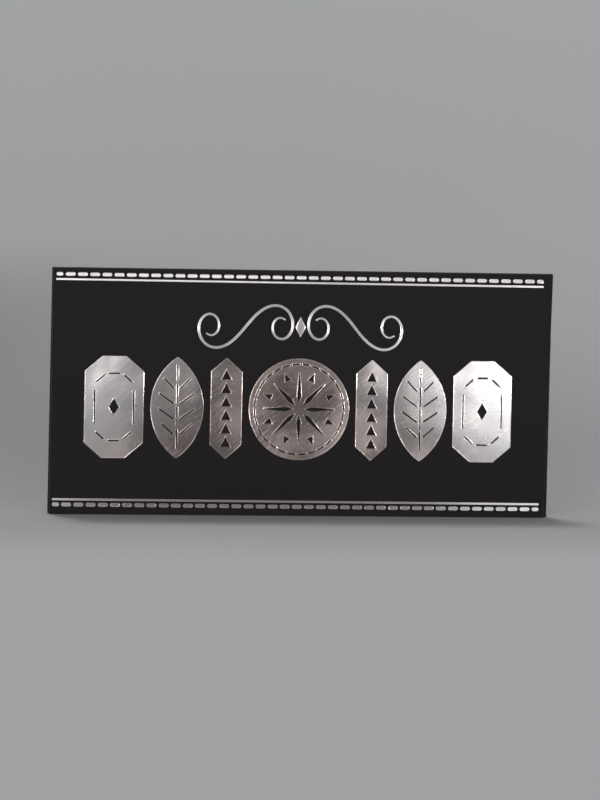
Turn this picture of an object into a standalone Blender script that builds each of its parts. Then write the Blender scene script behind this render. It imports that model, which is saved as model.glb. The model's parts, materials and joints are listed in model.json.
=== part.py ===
"""Money envelope of folded card, foil-stamped on its cover and standing on its long edge.

Units are metres. X runs along the envelope, Y from its front to its back, and Z up. The origin is on the
ground under the middle of the envelope. The cover is hung from the back panel by a spine with two creases,
and stands a little sprung open. Each crease is an empty on its axis that carries all that turns about it.
"""

import math

import bmesh
import bpy
from mathutils import Vector

# The card and how its layers lie on each other
ENVELOPE_WIDTH = 0.165
ENVELOPE_HEIGHT = 0.080
CARD_THICKNESS = 0.0004
LAYER_GAP = 0.0003
CREASE_GAP = 0.0003

# The cover: how far its free edge stands off, and how much narrower that edge is cut on the right
COVER_SPRING = 0.0022
COVER_RIGHT_INSET = 0.0016

# The pocket, with its mouth below the top fold and a thumb notch in the middle of the mouth
POCKET_MOUTH_DROP = 0.018
THUMB_NOTCH_WIDTH = 0.026
THUMB_NOTCH_DEPTH = 0.0075
MOUTH_CORNER_RADIUS = 0.0025

# The glued flaps at the pocket's ends
FLAP_WIDTH = 0.015
FLAP_TAPER = 0.005
FLAP_CORNER_RADIUS = 0.0015
GLUE_WIDTH = 0.008
GLUE_END_MARGIN = 0.004
GLUE_CLEARANCE = 0.00005

# The foil, and its place on the cover
FOIL_THICKNESS = 0.00005
FOIL_CLEARANCE = 0.00005
FOIL_LINE_WIDTH = 0.00045
FOIL_CORNER_RADIUS = 0.0005
PRINT_TURN = math.radians(0.14)
PRINT_LEFT_MARGIN = 0.0010
PRINT_RIGHT_MARGIN = 0.0032

# The stitch rows and the rules beside them, measured from the cover's edges to the rules
TOP_RULE_MARGIN = 0.0040
BOTTOM_RULE_MARGIN = 0.00465
RULE_WIDTH = 0.0007
ROW_TO_RULE = 0.00167
DASH_LENGTH = 0.00324
DASH_HEIGHT = 0.00125
DASH_GAP = 0.00075
END_DASH_LENGTH = 0.00228
DASH_BRIDGE_HEIGHT = 0.00015

# The ornament between the rules: a frieze of seven motifs, with a scroll over it
FRIEZE_SIDE_MARGIN = 0.012
MOTIF_GAP = 0.0022
SCROLL_SIDE_MARGIN = 0.049
SCROLL_LINE_WIDTH = 0.0009
SCROLL_DIAMOND_WIDTH = 0.0034
SCROLL_DIAMOND_HEIGHT = 0.0067
SCROLL_DIAMOND_GAP = 0.0009
FRIEZE_BASE_SHARE = 0.19
FRIEZE_HEIGHT_SHARE = 0.465
SCROLL_BASE_SHARE = 0.70
SCROLL_HEIGHT_SHARE = 0.195
GEM_WIDTH_SHARE = 0.41
LEAF_WIDTH_SHARE = 0.37
BAR_WIDTH_SHARE = 0.22
COIN_RING_CUTS = 28
COIN_RAYS = 8
BAR_TRIANGLES = 6

# Colours and finishes
CARD_BLACK = (0.016, 0.015, 0.016, 1.0)
FOIL_SILVER = (0.72, 0.71, 0.70, 1.0)
GLUE_CLEAR = (0.55, 0.52, 0.44, 1.0)

# Sizes that follow
half_width = ENVELOPE_WIDTH / 2
half_card = CARD_THICKNESS / 2
spring_angle = math.asin(COVER_SPRING / ENVELOPE_HEIGHT)
crease_turn = spring_angle / 2
layer_pitch = CARD_THICKNESS + LAYER_GAP
pocket_depth = layer_pitch + layer_pitch
spine_span = pocket_depth + layer_pitch
knuckle_clear = half_card + CREASE_GAP

# The crease axes, and the cover hung from the front one so that its free edge rests on the ground
rear_crease_height = ENVELOPE_HEIGHT - half_card
front_crease_rise = spine_span * math.sin(crease_turn)
front_crease_height = rear_crease_height + front_crease_rise
cover_length = (front_crease_height - half_card * math.sin(spring_angle)) / math.cos(spring_angle)

# The print, in the cover's own plane: x from the envelope's middle, z down from the front crease
print_middle_x = (PRINT_LEFT_MARGIN - PRINT_RIGHT_MARGIN) / 2
print_half_width = (ENVELOPE_WIDTH - PRINT_LEFT_MARGIN - PRINT_RIGHT_MARGIN) / 2
top_rule_z = half_card - TOP_RULE_MARGIN
bottom_rule_z = BOTTOM_RULE_MARGIN - cover_length
field_height = top_rule_z - bottom_rule_z
print_middle_z = (top_rule_z + bottom_rule_z) / 2
row_rise = field_height / 2 + ROW_TO_RULE
foil_front_y = -half_card - FOIL_CLEARANCE - FOIL_THICKNESS

# How far the cover's edge and the lowest foil reach forward, and the depth that follows
half_dash = DASH_HEIGHT / 2
turned_drop = (print_half_width - half_dash) * math.sin(PRINT_TURN)
foil_drop = (row_rise + half_dash) * math.cos(PRINT_TURN) + turned_drop
edge_reach = cover_length * math.sin(spring_angle) + half_card * math.cos(spring_angle)
foil_reach = (foil_drop - print_middle_z) * math.sin(spring_angle) - foil_front_y * math.cos(spring_angle)
cover_reach = spine_span * math.cos(crease_turn) + max(edge_reach, foil_reach)
envelope_depth = half_card + cover_reach
back_middle_y = envelope_depth / 2 - half_card
flap_middle_y = back_middle_y - layer_pitch
pocket_middle_y = back_middle_y - pocket_depth

# Where the standing panels begin and end
panel_foot_height = CARD_THICKNESS + CREASE_GAP
back_top_height = rear_crease_height - knuckle_clear
mouth_height = ENVELOPE_HEIGHT - POCKET_MOUTH_DROP
pocket_half_width = half_width - CARD_THICKNESS - CREASE_GAP

# How finely round outlines are drawn
CORNER_STEPS = 4
DASH_END_STEPS = 2
NOTCH_STEPS = 16
COIN_STEPS = 56
LEAF_SIDE_STEPS = 12
SCROLL_STEPS = 44
KNUCKLE_STEPS = 8


def clear_scene():
    """Remove every object that the file holds."""
    for thing in list(bpy.data.objects):
        bpy.data.objects.remove(thing, do_unlink=True)


def material(name, colour, roughness, metallic):
    """A plain finish of one colour."""
    made = bpy.data.materials.new(name)
    made.use_nodes = True
    shader = made.node_tree.nodes["Principled BSDF"]
    shader.inputs["Base Color"].default_value = colour
    shader.inputs["Roughness"].default_value = roughness
    shader.inputs["Metallic"].default_value = metallic
    made.diffuse_color = colour
    return made


def card_finish(name):
    """Matt black dyed card."""
    return material(name + "_card", CARD_BLACK, 0.72, 0.0)


def foil_finish(name):
    """Bright silver stamping foil."""
    return material(name + "_foil", FOIL_SILVER, 0.28, 1.0)


def glue_finish(name):
    """A dried strip of glue."""
    return material(name + "_glue", GLUE_CLEAR, 0.45, 0.0)


def link(thing, parent=None):
    """Put an object in the scene, under its parent."""
    bpy.context.scene.collection.objects.link(thing)
    thing.parent = parent
    return thing


def empty(name, location, turn_about_x=0.0, turn_about_y=0.0, parent=None):
    """An axis or a reference point that carries other objects."""
    made = bpy.data.objects.new(name, None)
    made.location = location
    made.rotation_euler = (turn_about_x, turn_about_y, 0.0)
    made.empty_display_size = CARD_THICKNESS
    return link(made, parent)


def mesh_object(name, shape, finish, location=(0.0, 0.0, 0.0), parent=None):
    """An object that holds a finished bmesh."""
    bmesh.ops.recalc_face_normals(shape, faces=shape.faces)
    mesh = bpy.data.meshes.new(name)
    shape.to_mesh(mesh)
    shape.free()
    mesh.materials.append(finish)
    made = bpy.data.objects.new(name, mesh)
    made.location = location
    return link(made, parent)


def plate(name, outline, middle_y, finish, parent=None):
    """A panel of card: an outline in X and Z, as thick as the card, about its middle plane."""
    shape = bmesh.new()
    front = [shape.verts.new((x, -half_card, z)) for x, z in outline]
    face = shape.faces.new(front)
    swept = bmesh.ops.extrude_face_region(shape, geom=[face])
    moved = [part for part in swept["geom"] if isinstance(part, bmesh.types.BMVert)]
    bmesh.ops.translate(shape, vec=(0.0, CARD_THICKNESS, 0.0), verts=moved)
    return mesh_object(name, shape, finish, (0.0, middle_y, 0.0), parent)


def strip(name, profile, half_length, finish, parent=None, location=(0.0, 0.0, 0.0)):
    """A fold that runs along X: an outline in Y and Z, swept from one end to the other."""
    shape = bmesh.new()
    start = [shape.verts.new((-half_length, y, z)) for y, z in profile]
    face = shape.faces.new(start)
    swept = bmesh.ops.extrude_face_region(shape, geom=[face])
    moved = [part for part in swept["geom"] if isinstance(part, bmesh.types.BMVert)]
    bmesh.ops.translate(shape, vec=(half_length + half_length, 0.0, 0.0), verts=moved)
    made = mesh_object(name, shape, finish, location, parent)
    made.data.shade_smooth()
    made.data.set_sharp_from_angle(angle=math.radians(40))
    return made


def arc(centre, radius, start, end, steps):
    """Points along a circular arc, both ends included."""
    turns = [start + (end - start) * step / steps for step in range(steps + 1)]
    return [(centre[0] + radius * math.cos(t), centre[1] + radius * math.sin(t)) for t in turns]


def rounded(corners, radius):
    """The outline of a polygon whose corners are rounded, all to one radius."""
    outline = []
    for index, corner in enumerate(corners):
        here = Vector(corner)
        back = (Vector(corners[index - 1]) - here).normalized()
        ahead = (Vector(corners[(index + 1) % len(corners)]) - here).normalized()
        half_angle = back.angle(ahead) / 2
        inward = (back + ahead).normalized()
        centre = here + inward * (radius / math.sin(half_angle))
        start = here + back * (radius / math.tan(half_angle)) - centre
        end = here + ahead * (radius / math.tan(half_angle)) - centre
        first = math.atan2(start.y, start.x)
        sweep = math.atan2(start.x * end.y - start.y * end.x, start.dot(end))
        outline += arc(centre, radius, first, first + sweep, CORNER_STEPS)
    return outline


def slot(start, end, width):
    """A narrow cut between two points, as an outline."""
    along = (Vector(end) - Vector(start)).normalized()
    side = Vector((-along.y, along.x)) * (width / 2)
    corners = (Vector(start) + side, Vector(end) + side, Vector(end) - side, Vector(start) - side)
    return [tuple(corner) for corner in corners]


def between(start, end, share):
    """The point that lies this share of the way from start to end."""
    return tuple(Vector(start).lerp(Vector(end), share))


def foil_piece(name, loops, x, z, parent):
    """A flat piece of foil on the cover: its outline, then the outlines of its openings."""
    curve = bpy.data.curves.new(name, "CURVE")
    curve.dimensions = "2D"
    curve.fill_mode = "BOTH"
    curve.extrude = FOIL_THICKNESS / 2
    for loop in loops:
        spline = curve.splines.new("POLY")
        spline.points.add(len(loop) - 1)
        for point, (along, up) in zip(spline.points, loop):
            point.co = (along, up, 0.0, 1.0)
        spline.use_cyclic_u = True
    curve.materials.append(foil_finish(name))
    made = bpy.data.objects.new(name, curve)
    made.rotation_euler = (math.radians(90), 0.0, 0.0)
    made.location = (x, foil_front_y + FOIL_THICKNESS / 2, z)
    return link(made, parent)


def build_back():
    """The back panel and the fold along the foot of the pocket."""
    back_outline = [
        (-half_width, panel_foot_height),
        (half_width, panel_foot_height),
        (half_width, back_top_height),
        (-half_width, back_top_height),
    ]
    plate("back_panel", back_outline, back_middle_y, card_finish("back"))
    rear = pocket_depth + half_card
    foot = arc((rear - half_card, half_card), half_card, math.radians(-90), 0.0, CORNER_STEPS)
    heel = arc((0.0, half_card), half_card, math.radians(180), math.radians(270), CORNER_STEPS)
    profile = [(-half_card, CARD_THICKNESS), *heel, *foot, (rear, CARD_THICKNESS)]
    location = (0.0, pocket_middle_y, 0.0)
    strip("pocket_foot_fold", profile, half_width, card_finish("pocket_fold"), None, location)


def build_pocket():
    """The pocket's front wall, with the thumb notch in its mouth."""
    notch_half = THUMB_NOTCH_WIDTH / 2
    notch_radius = (notch_half**2 + THUMB_NOTCH_DEPTH**2) / (THUMB_NOTCH_DEPTH + THUMB_NOTCH_DEPTH)
    notch_centre = (0.0, mouth_height - THUMB_NOTCH_DEPTH + notch_radius)
    notch_angle = math.asin(notch_half / notch_radius)
    down = math.radians(-90)
    notch = arc(notch_centre, notch_radius, down + notch_angle, down - notch_angle, NOTCH_STEPS)
    corner_x = pocket_half_width - MOUTH_CORNER_RADIUS
    corner_z = mouth_height - MOUTH_CORNER_RADIUS
    right = arc((corner_x, corner_z), MOUTH_CORNER_RADIUS, 0.0, math.radians(90), CORNER_STEPS)
    left = [(-x, z) for x, z in reversed(right)]
    foot = [(-pocket_half_width, panel_foot_height), (pocket_half_width, panel_foot_height)]
    outline = foot + right + notch + left
    plate("pocket_panel", outline, pocket_middle_y, card_finish("pocket"))


def build_flap(side, sign):
    """One end flap: the fold round the pocket's end and the tapered tongue glued to the back."""
    finish = card_finish("pocket_flap_" + side)
    top = mouth_height - MOUTH_CORNER_RADIUS
    tongue_end = half_width - FLAP_WIDTH
    fold_inner = half_width - CARD_THICKNESS
    tongue = rounded(
        [
            (sign * half_width, panel_foot_height),
            (sign * half_width, top),
            (sign * tongue_end, top - FLAP_TAPER),
            (sign * tongue_end, panel_foot_height + FLAP_TAPER),
        ],
        FLAP_CORNER_RADIUS,
    )
    made = plate("pocket_flap_" + side, tongue, flap_middle_y, finish)
    fold = bmesh.new()
    depth = flap_middle_y - pocket_middle_y + CARD_THICKNESS
    height = top - panel_foot_height - FLAP_CORNER_RADIUS - FLAP_CORNER_RADIUS
    bmesh.ops.create_cube(fold, size=1.0)
    bmesh.ops.scale(fold, vec=(CARD_THICKNESS, depth, height), verts=fold.verts)
    location = (
        sign * (fold_inner + half_card),
        pocket_middle_y - half_card + depth / 2,
        (top + panel_foot_height) / 2,
    )
    wall = mesh_object("pocket_flap_fold_guide_" + side, fold, finish, location)
    wall.hide_render = True
    wall.display_type = "WIRE"
    joined = made.modifiers.new("fold", "BOOLEAN")
    joined.operation = "UNION"
    joined.solver = "EXACT"
    joined.object = wall


def build_glue(side, sign):
    """The glue between one flap's tongue and the back panel."""
    middle_x = sign * (half_width - FLAP_WIDTH / 2)
    low = panel_foot_height + FLAP_TAPER + GLUE_END_MARGIN
    high = mouth_height - MOUTH_CORNER_RADIUS - FLAP_TAPER - GLUE_END_MARGIN
    thickness = LAYER_GAP - GLUE_CLEARANCE - GLUE_CLEARANCE
    shape = bmesh.new()
    bmesh.ops.create_cube(shape, size=1.0)
    bmesh.ops.scale(shape, vec=(GLUE_WIDTH, thickness, high - low), verts=shape.verts)
    location = (middle_x, (flap_middle_y + back_middle_y) / 2, (low + high) / 2)
    mesh_object("glue_strip_" + side, shape, glue_finish(side), location)


def build_spine(rear_crease):
    """The narrow panel over the top, round along both creases."""
    up = math.radians(90)
    rear = arc((0.0, 0.0), half_card, -up, up, KNUCKLE_STEPS)
    front = arc((-spine_span, 0.0), half_card, up, up + math.pi, KNUCKLE_STEPS)
    strip("top_spine", rear + front, half_width, card_finish("spine"), rear_crease)


def build_cover(front_crease):
    """The cover, hung from the front crease."""
    outline = [
        (-half_width, -cover_length),
        (half_width - COVER_RIGHT_INSET, -cover_length),
        (half_width, -knuckle_clear),
        (-half_width, -knuckle_clear),
    ]
    plate("cover_panel", outline, 0.0, card_finish("cover"), front_crease)


def dash_ends(start, end):
    """The upper and lower halves of a round-ended dash, each from its left end to its right."""
    radius = half_dash
    bridge = math.asin(DASH_BRIDGE_HEIGHT / DASH_HEIGHT)
    quarter = math.radians(90)
    left = (start + radius, 0.0)
    right = (end - radius, 0.0)
    upper = arc(left, radius, math.pi - bridge, quarter, DASH_END_STEPS)
    upper += arc(right, radius, quarter, bridge, DASH_END_STEPS)
    return upper, [(x, -z) for x, z in upper]


def build_stitch_row(name, z, parent):
    """A row of dashes, long ones between two short ones, held together by a fine thread of foil."""
    row_length = print_half_width + print_half_width
    long_run = row_length - END_DASH_LENGTH - END_DASH_LENGTH - DASH_GAP
    count = max(1, round(long_run / (DASH_LENGTH + DASH_GAP)))
    lengths = [END_DASH_LENGTH] + [DASH_LENGTH] * count + [END_DASH_LENGTH]
    gap = (row_length - sum(lengths)) / (count + 1)
    upper = []
    lower = []
    start = -print_half_width
    for length in lengths:
        above, below = dash_ends(start, start + length)
        upper += above
        lower += below
        start += length + gap
    foil_piece(name, [upper + lower[::-1]], 0.0, z, parent)


def build_rule(name, z, parent):
    """A plain line of foil as long as the stitch rows."""
    half = RULE_WIDTH / 2
    corners = [(-print_half_width, -half), (print_half_width, -half)]
    corners += [(x, -y) for x, y in reversed(corners)]
    foil_piece(name, [corners], 0.0, z, parent)


def ring_of_slots(radius, width, count, filled_share):
    """Cuts that follow a circle, with foil left between them."""
    step = math.tau / count
    cuts = []
    for index in range(count):
        first = step * index
        last = first + step * filled_share
        outer = arc((0.0, 0.0), radius + width / 2, first, last, CORNER_STEPS)
        inner = arc((0.0, 0.0), radius - width / 2, last, first, CORNER_STEPS)
        cuts.append(outer + inner)
    return cuts


def coin_loops(radius):
    """A disc with a broken ring near its rim and a star of narrow rays and triangles."""
    rim_share = 0.885
    cut_share = 0.72
    ray_shares = 0.13, 0.70
    ray_width_share = 0.085
    triangle_shares = 0.60, 0.75
    triangle_width_share = 0.12
    loops = [arc((0.0, 0.0), radius, 0.0, math.tau, COIN_STEPS)[:-1]]
    loops += ring_of_slots(radius * rim_share, FOIL_LINE_WIDTH, COIN_RING_CUTS, cut_share)
    half_step = math.pi / COIN_RAYS
    for index in range(COIN_RAYS):
        turn = math.tau * index / COIN_RAYS
        out = Vector((math.cos(turn), math.sin(turn)))
        side = Vector((-out.y, out.x)) * radius * ray_width_share / 2
        tip, root = out * radius * ray_shares[1], out * radius * ray_shares[0]
        waist = out * radius * (ray_shares[0] + ray_shares[0])
        loops.append([tuple(p) for p in (root, waist - side, tip, waist + side)])
        turn += half_step
        out = Vector((math.cos(turn), math.sin(turn)))
        side = Vector((-out.y, out.x)) * radius * triangle_width_share / 2
        tip, foot = out * radius * triangle_shares[1], out * radius * triangle_shares[0]
        loops.append([tuple(p) for p in (foot - side, tip, foot + side)])
    return loops


def gem_loops(width, height):
    """An upright stone with cut corners, a broken line inside it and a small opening at its middle."""
    cut_share = 0.30
    line_share = 0.66
    broken_share = 0.14
    opening_share = 0.17
    half_w = width / 2
    half_h = height / 2
    flat_w = half_w * (1 - cut_share - cut_share)
    flat_h = half_h * (1 - cut_share)
    lower = [(-half_w, -flat_h), (-flat_w, -half_h), (flat_w, -half_h), (half_w, -flat_h)]
    corners = lower + [(-x, -z) for x, z in lower]
    loops = [rounded(corners, FOIL_CORNER_RADIUS)]
    inner = [(x * line_share, z * line_share) for x, z in corners]
    for index, start in enumerate(inner):
        end = inner[(index + 1) % len(inner)]
        first, last = between(start, end, broken_share), between(end, start, broken_share)
        loops.append(slot(first, last, FOIL_LINE_WIDTH))
    tips = [(0.0, -half_h), (half_w, 0.0), (0.0, half_h), (-half_w, 0.0)]
    loops.append([(x * opening_share, z * opening_share) for x, z in tips])
    return loops


def leaf_loops(width, height):
    """An upright leaf with a broken midrib and pairs of veins."""
    half_w = width / 2
    half_h = height / 2
    radius = (half_h**2 + half_w**2) / width
    reach = math.asin(half_h / radius)
    right = arc((half_w - radius, 0.0), radius, -reach, reach, LEAF_SIDE_STEPS)[:-1]
    left = [(-x, -z) for x, z in right]
    loops = [right + left]
    rib_shares = (-0.80, -0.42), (-0.36, 0.02), (0.08, 0.46), (0.52, 0.84)
    for low, high in rib_shares:
        loops.append(slot((0.0, half_h * low), (0.0, half_h * high), FOIL_LINE_WIDTH))
    vein_shares = (-0.52, 0.56), (-0.22, 0.68), (0.08, 0.66), (0.38, 0.50)
    vein_rise_share = 0.20
    vein_root_share = 0.12
    for root, reach_share in vein_shares:
        for sign in (-1, 1):
            start = (sign * half_w * vein_root_share, half_h * root)
            end = (sign * half_w * reach_share, half_h * (root + vein_rise_share))
            loops.append(slot(start, end, FOIL_LINE_WIDTH))
    return loops


def bar_loops(width, height):
    """An upright bar with pointed ends and a column of small triangles."""
    shoulder_share = 0.36
    shoulder = height * shoulder_share
    corners = [
        (0.0, -height / 2),
        (width / 2, -shoulder),
        (width / 2, shoulder),
        (0.0, height / 2),
        (-width / 2, shoulder),
        (-width / 2, -shoulder),
    ]
    loops = [rounded(corners, FOIL_CORNER_RADIUS)]
    side_share = 0.15
    column_share = 0.66
    half_side = width * side_share
    for index in range(BAR_TRIANGLES):
        middle = height * column_share * (index / (BAR_TRIANGLES - 1) - 0.5)
        foot = middle - half_side
        loops.append([(-half_side, foot), (half_side, foot), (0.0, middle + half_side)])
    return loops


def scroll_path(length, height):
    """The middle line of an S-shaped scroll that is curled at both ends, fitted to a length and a height."""
    curl_turns = 1.225
    lean = math.radians(45)
    reach = math.sqrt(curl_turns * math.tau)
    step = (reach + reach) / SCROLL_STEPS
    here = Vector((0.0, 0.0))
    points = [here.copy()]
    for index in range(SCROLL_STEPS):
        along = -reach + step * (index + 0.5)
        heading = along * along - lean
        here += Vector((math.cos(heading), math.sin(heading))) * step
        points.append(here.copy())
    low = Vector((min(p.x for p in points), min(p.y for p in points)))
    high = Vector((max(p.x for p in points), max(p.y for p in points)))
    across = length / (high.x - low.x)
    up = height / (high.y - low.y)
    return [((p.x - low.x) * across, (p.y - low.y) * up - height / 2) for p in points]


def ribbon(points, width, tip_share):
    """The outline of a stroke along a line of points, thinner towards its two round ends."""
    left = []
    right = []
    last = len(points) - 1
    for index, point in enumerate(points):
        before = Vector(points[max(0, index - 1)])
        after = Vector(points[min(last, index + 1)])
        along = (after - before).normalized()
        swell = tip_share + (1 - tip_share) * math.sqrt(math.sin(math.pi * index / last))
        side = Vector((-along.y, along.x)) * (width * swell / 2)
        left.append(tuple(Vector(point) + side))
        right.append(tuple(Vector(point) - side))
    return round_end(right[-1], left[-1]) + left[::-1] + round_end(left[0], right[0]) + right


def round_end(start, end):
    """The points of a half circle that closes a stroke, without its two ends."""
    middle = (Vector(start) + Vector(end)) / 2
    arm = Vector(start) - middle
    first = math.atan2(arm.y, arm.x)
    return arc(tuple(middle), arm.length, first, first + math.pi, CORNER_STEPS)[1:-1]


def build_frieze(parent):
    """Seven motifs in a row: a coin, and a bar, a leaf and a cut stone on each side of it."""
    height = field_height * FRIEZE_HEIGHT_SHARE
    middle_z = bottom_rule_z - print_middle_z + field_height * FRIEZE_BASE_SHARE + height / 2
    width = ENVELOPE_WIDTH - FRIEZE_SIDE_MARGIN - FRIEZE_SIDE_MARGIN
    wing = (width - height) / 2 - MOTIF_GAP - MOTIF_GAP - MOTIF_GAP
    foil_piece("foil_coin", coin_loops(height / 2), 0.0, middle_z, parent)
    start = height / 2
    motifs = (
        ("foil_bar_", bar_loops, wing * BAR_WIDTH_SHARE),
        ("foil_leaf_", leaf_loops, wing * LEAF_WIDTH_SHARE),
        ("foil_gem_", gem_loops, wing * GEM_WIDTH_SHARE),
    )
    for name, loops_of, motif_width in motifs:
        middle_x = start + MOTIF_GAP + motif_width / 2
        for side, sign in (("left", -1), ("right", 1)):
            foil_piece(name + side, loops_of(motif_width, height), sign * middle_x, middle_z, parent)
        start += MOTIF_GAP + motif_width


def build_scroll(parent):
    """The fine flourish over the frieze: a small diamond between two scrolls."""
    height = field_height * SCROLL_HEIGHT_SHARE
    middle_z = bottom_rule_z - print_middle_z + field_height * SCROLL_BASE_SHARE + height / 2
    stroke_tip_share = 0.6
    tip_x = SCROLL_DIAMOND_WIDTH / 2
    tip_z = SCROLL_DIAMOND_HEIGHT / 2
    start = tip_x + SCROLL_DIAMOND_GAP
    path = scroll_path(half_width - SCROLL_SIDE_MARGIN - start, height)
    stroke = ribbon([(x + start, z) for x, z in path], SCROLL_LINE_WIDTH, stroke_tip_share)
    foil_piece("foil_scroll_right", [stroke], 0.0, middle_z, parent)
    mirrored = [(-x, z) for x, z in reversed(stroke)]
    foil_piece("foil_scroll_left", [mirrored], 0.0, middle_z, parent)
    diamond = [(0.0, -tip_z), (tip_x, 0.0), (0.0, tip_z), (-tip_x, 0.0)]
    foil_piece("foil_scroll_diamond", [diamond], 0.0, middle_z, parent)


def build_print(front_crease):
    """All the foil on the cover, turned a little, as it was stamped."""
    middle = (print_middle_x, 0.0, print_middle_z)
    stamp = empty("stamp_middle", middle, turn_about_y=PRINT_TURN, parent=front_crease)
    rule_rise = field_height / 2
    build_stitch_row("foil_stitch_row_top", row_rise, stamp)
    build_rule("foil_rule_top", rule_rise, stamp)
    build_rule("foil_rule_bottom", -rule_rise, stamp)
    build_stitch_row("foil_stitch_row_bottom", -row_rise, stamp)
    build_frieze(stamp)
    build_scroll(stamp)


def main():
    """Build the envelope."""
    clear_scene()
    build_back()
    build_pocket()
    for side, sign in (("left", -1), ("right", 1)):
        build_flap(side, sign)
        build_glue(side, sign)
    rear_axis = (0.0, back_middle_y, rear_crease_height)
    rear_crease = empty("rear_crease", rear_axis, turn_about_x=-crease_turn)
    build_spine(rear_crease)
    front_axis = (0.0, -spine_span, 0.0)
    front_crease = empty("front_crease", front_axis, turn_about_x=-crease_turn, parent=rear_crease)
    build_cover(front_crease)
    build_print(front_crease)


main()
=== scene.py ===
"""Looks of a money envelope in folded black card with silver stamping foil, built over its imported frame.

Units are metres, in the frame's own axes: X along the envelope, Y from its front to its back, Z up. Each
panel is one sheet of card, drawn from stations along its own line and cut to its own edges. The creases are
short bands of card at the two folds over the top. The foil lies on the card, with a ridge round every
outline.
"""

import json
import logging
import math
from collections.abc import Callable, Sequence
from dataclasses import dataclass, field
from enum import Enum

import bmesh
import bpy
from mathutils import Matrix, Vector


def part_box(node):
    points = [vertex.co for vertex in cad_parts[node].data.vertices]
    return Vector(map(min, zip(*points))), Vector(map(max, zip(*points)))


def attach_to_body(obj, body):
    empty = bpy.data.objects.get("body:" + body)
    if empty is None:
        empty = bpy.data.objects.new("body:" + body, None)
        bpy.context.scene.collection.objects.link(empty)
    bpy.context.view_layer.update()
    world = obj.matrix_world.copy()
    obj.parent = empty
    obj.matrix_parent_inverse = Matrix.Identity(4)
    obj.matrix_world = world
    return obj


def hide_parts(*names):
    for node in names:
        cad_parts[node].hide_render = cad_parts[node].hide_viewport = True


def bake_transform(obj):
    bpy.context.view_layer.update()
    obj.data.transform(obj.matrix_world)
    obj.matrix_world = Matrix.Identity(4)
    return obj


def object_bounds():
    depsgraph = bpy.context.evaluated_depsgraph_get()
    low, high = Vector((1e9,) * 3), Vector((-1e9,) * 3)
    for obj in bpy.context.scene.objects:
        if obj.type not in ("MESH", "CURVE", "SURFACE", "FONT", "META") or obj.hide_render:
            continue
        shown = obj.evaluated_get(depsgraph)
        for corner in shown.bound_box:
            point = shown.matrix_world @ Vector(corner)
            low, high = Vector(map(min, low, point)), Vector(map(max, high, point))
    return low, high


Point = tuple[float, float]
Loop = list[Point]
Line = Sequence[tuple[Point, Point]]
Band = tuple[float, float]
Triple = tuple[float, float, float]
Socket = bpy.types.NodeSocket
Material = bpy.types.Material
Object = bpy.types.Object

log = logging.getLogger("money_envelope")
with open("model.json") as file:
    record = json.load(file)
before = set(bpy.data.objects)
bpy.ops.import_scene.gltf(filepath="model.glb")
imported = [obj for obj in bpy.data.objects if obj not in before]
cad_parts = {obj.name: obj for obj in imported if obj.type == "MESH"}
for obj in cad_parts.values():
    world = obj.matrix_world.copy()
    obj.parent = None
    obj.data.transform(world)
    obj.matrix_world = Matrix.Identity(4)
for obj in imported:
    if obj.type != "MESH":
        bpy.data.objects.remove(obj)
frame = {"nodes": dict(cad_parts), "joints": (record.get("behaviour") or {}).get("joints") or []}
cad_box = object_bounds()

NUMBER = "NodeSocketFloat"
TONE_BAND: Band = (0.3, 0.7)
FACE_INDEX = 0
CUT_INDEX = 1
BORDER_RIM = 0.0002


class Body(Enum):
    """The bodies of the frame that pieces ride on."""

    BACK = "back"
    SPINE = "spine"
    COVER = "cover"


class Slot(Enum):
    """The record's material slots."""

    CARD = "black_card"
    FOIL = "silver_foil"
    GLUE = "clear_glue"


class Side(Enum):
    """The two ends of the envelope, by the sign of X."""

    LEFT = -1
    RIGHT = 1

    @property
    def word(self) -> str:
        """The side's name in the names of pieces and nodes."""
        return self.name.lower()


class Axis(Enum):
    """The way that a sheet is swept across its own line."""

    ALONG = "x"
    UP = "z"


@dataclass(frozen=True)
class Envelope:
    """The places that every sub-assembly is built from, read from the frame."""

    half_width: float
    card: float
    rear_axis: Vector
    front_axis: Vector
    crease_turn: float
    cover_length: float
    cover_foot_right: float
    bend_radius: float = 0.00035

    @classmethod
    def read(cls) -> "Envelope":
        """Read the creases from the joints and the edges from the nodes.

        Returns:
            The envelope's driving places and sizes, at rest.
        """
        places = {joint["child"]: Vector(joint["pos_m"]) for joint in frame["joints"]}
        rear, front = places[Body.SPINE.value], places[Body.COVER.value]
        low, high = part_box("back_panel")
        turn = math.atan2(front.z - rear.z, rear.y - front.y)
        foot = [v.co for v in frame["nodes"]["cover_panel"].data.vertices if v.co.z < front.z / 2]
        half_card = (high.y - low.y) / 2
        length = (front.z - half_card * math.sin(2 * turn)) / math.cos(2 * turn)
        return cls(high.x, high.y - low.y, rear, front, turn, length, max(p.x for p in foot))

    @property
    def half_card(self) -> float:
        """Half of the card's thickness."""
        return self.card / 2

    @property
    def cover_matrix(self) -> Matrix:
        """The cover's own place: the origin on the front crease, with Z up along the sheet."""
        return Matrix.Translation(self.front_axis) @ Matrix.Rotation(-2 * self.crease_turn, 4, "X")


# Small shapes and helpers


def arc(centre: Point, radius: float, start: float, end: float, steps: int) -> Loop:
    """Points along a circular arc, both ends included.

    Args:
        centre: The arc's centre.
        radius: The arc's radius.
        start: The angle of its first point, in radians.
        end: The angle of its last point.
        steps: How many straight steps it is drawn in.

    Returns:
        The points in order.
    """
    turns = [start + (end - start) * step / steps for step in range(steps + 1)]
    return [(centre[0] + radius * math.cos(t), centre[1] + radius * math.sin(t)) for t in turns]


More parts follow.
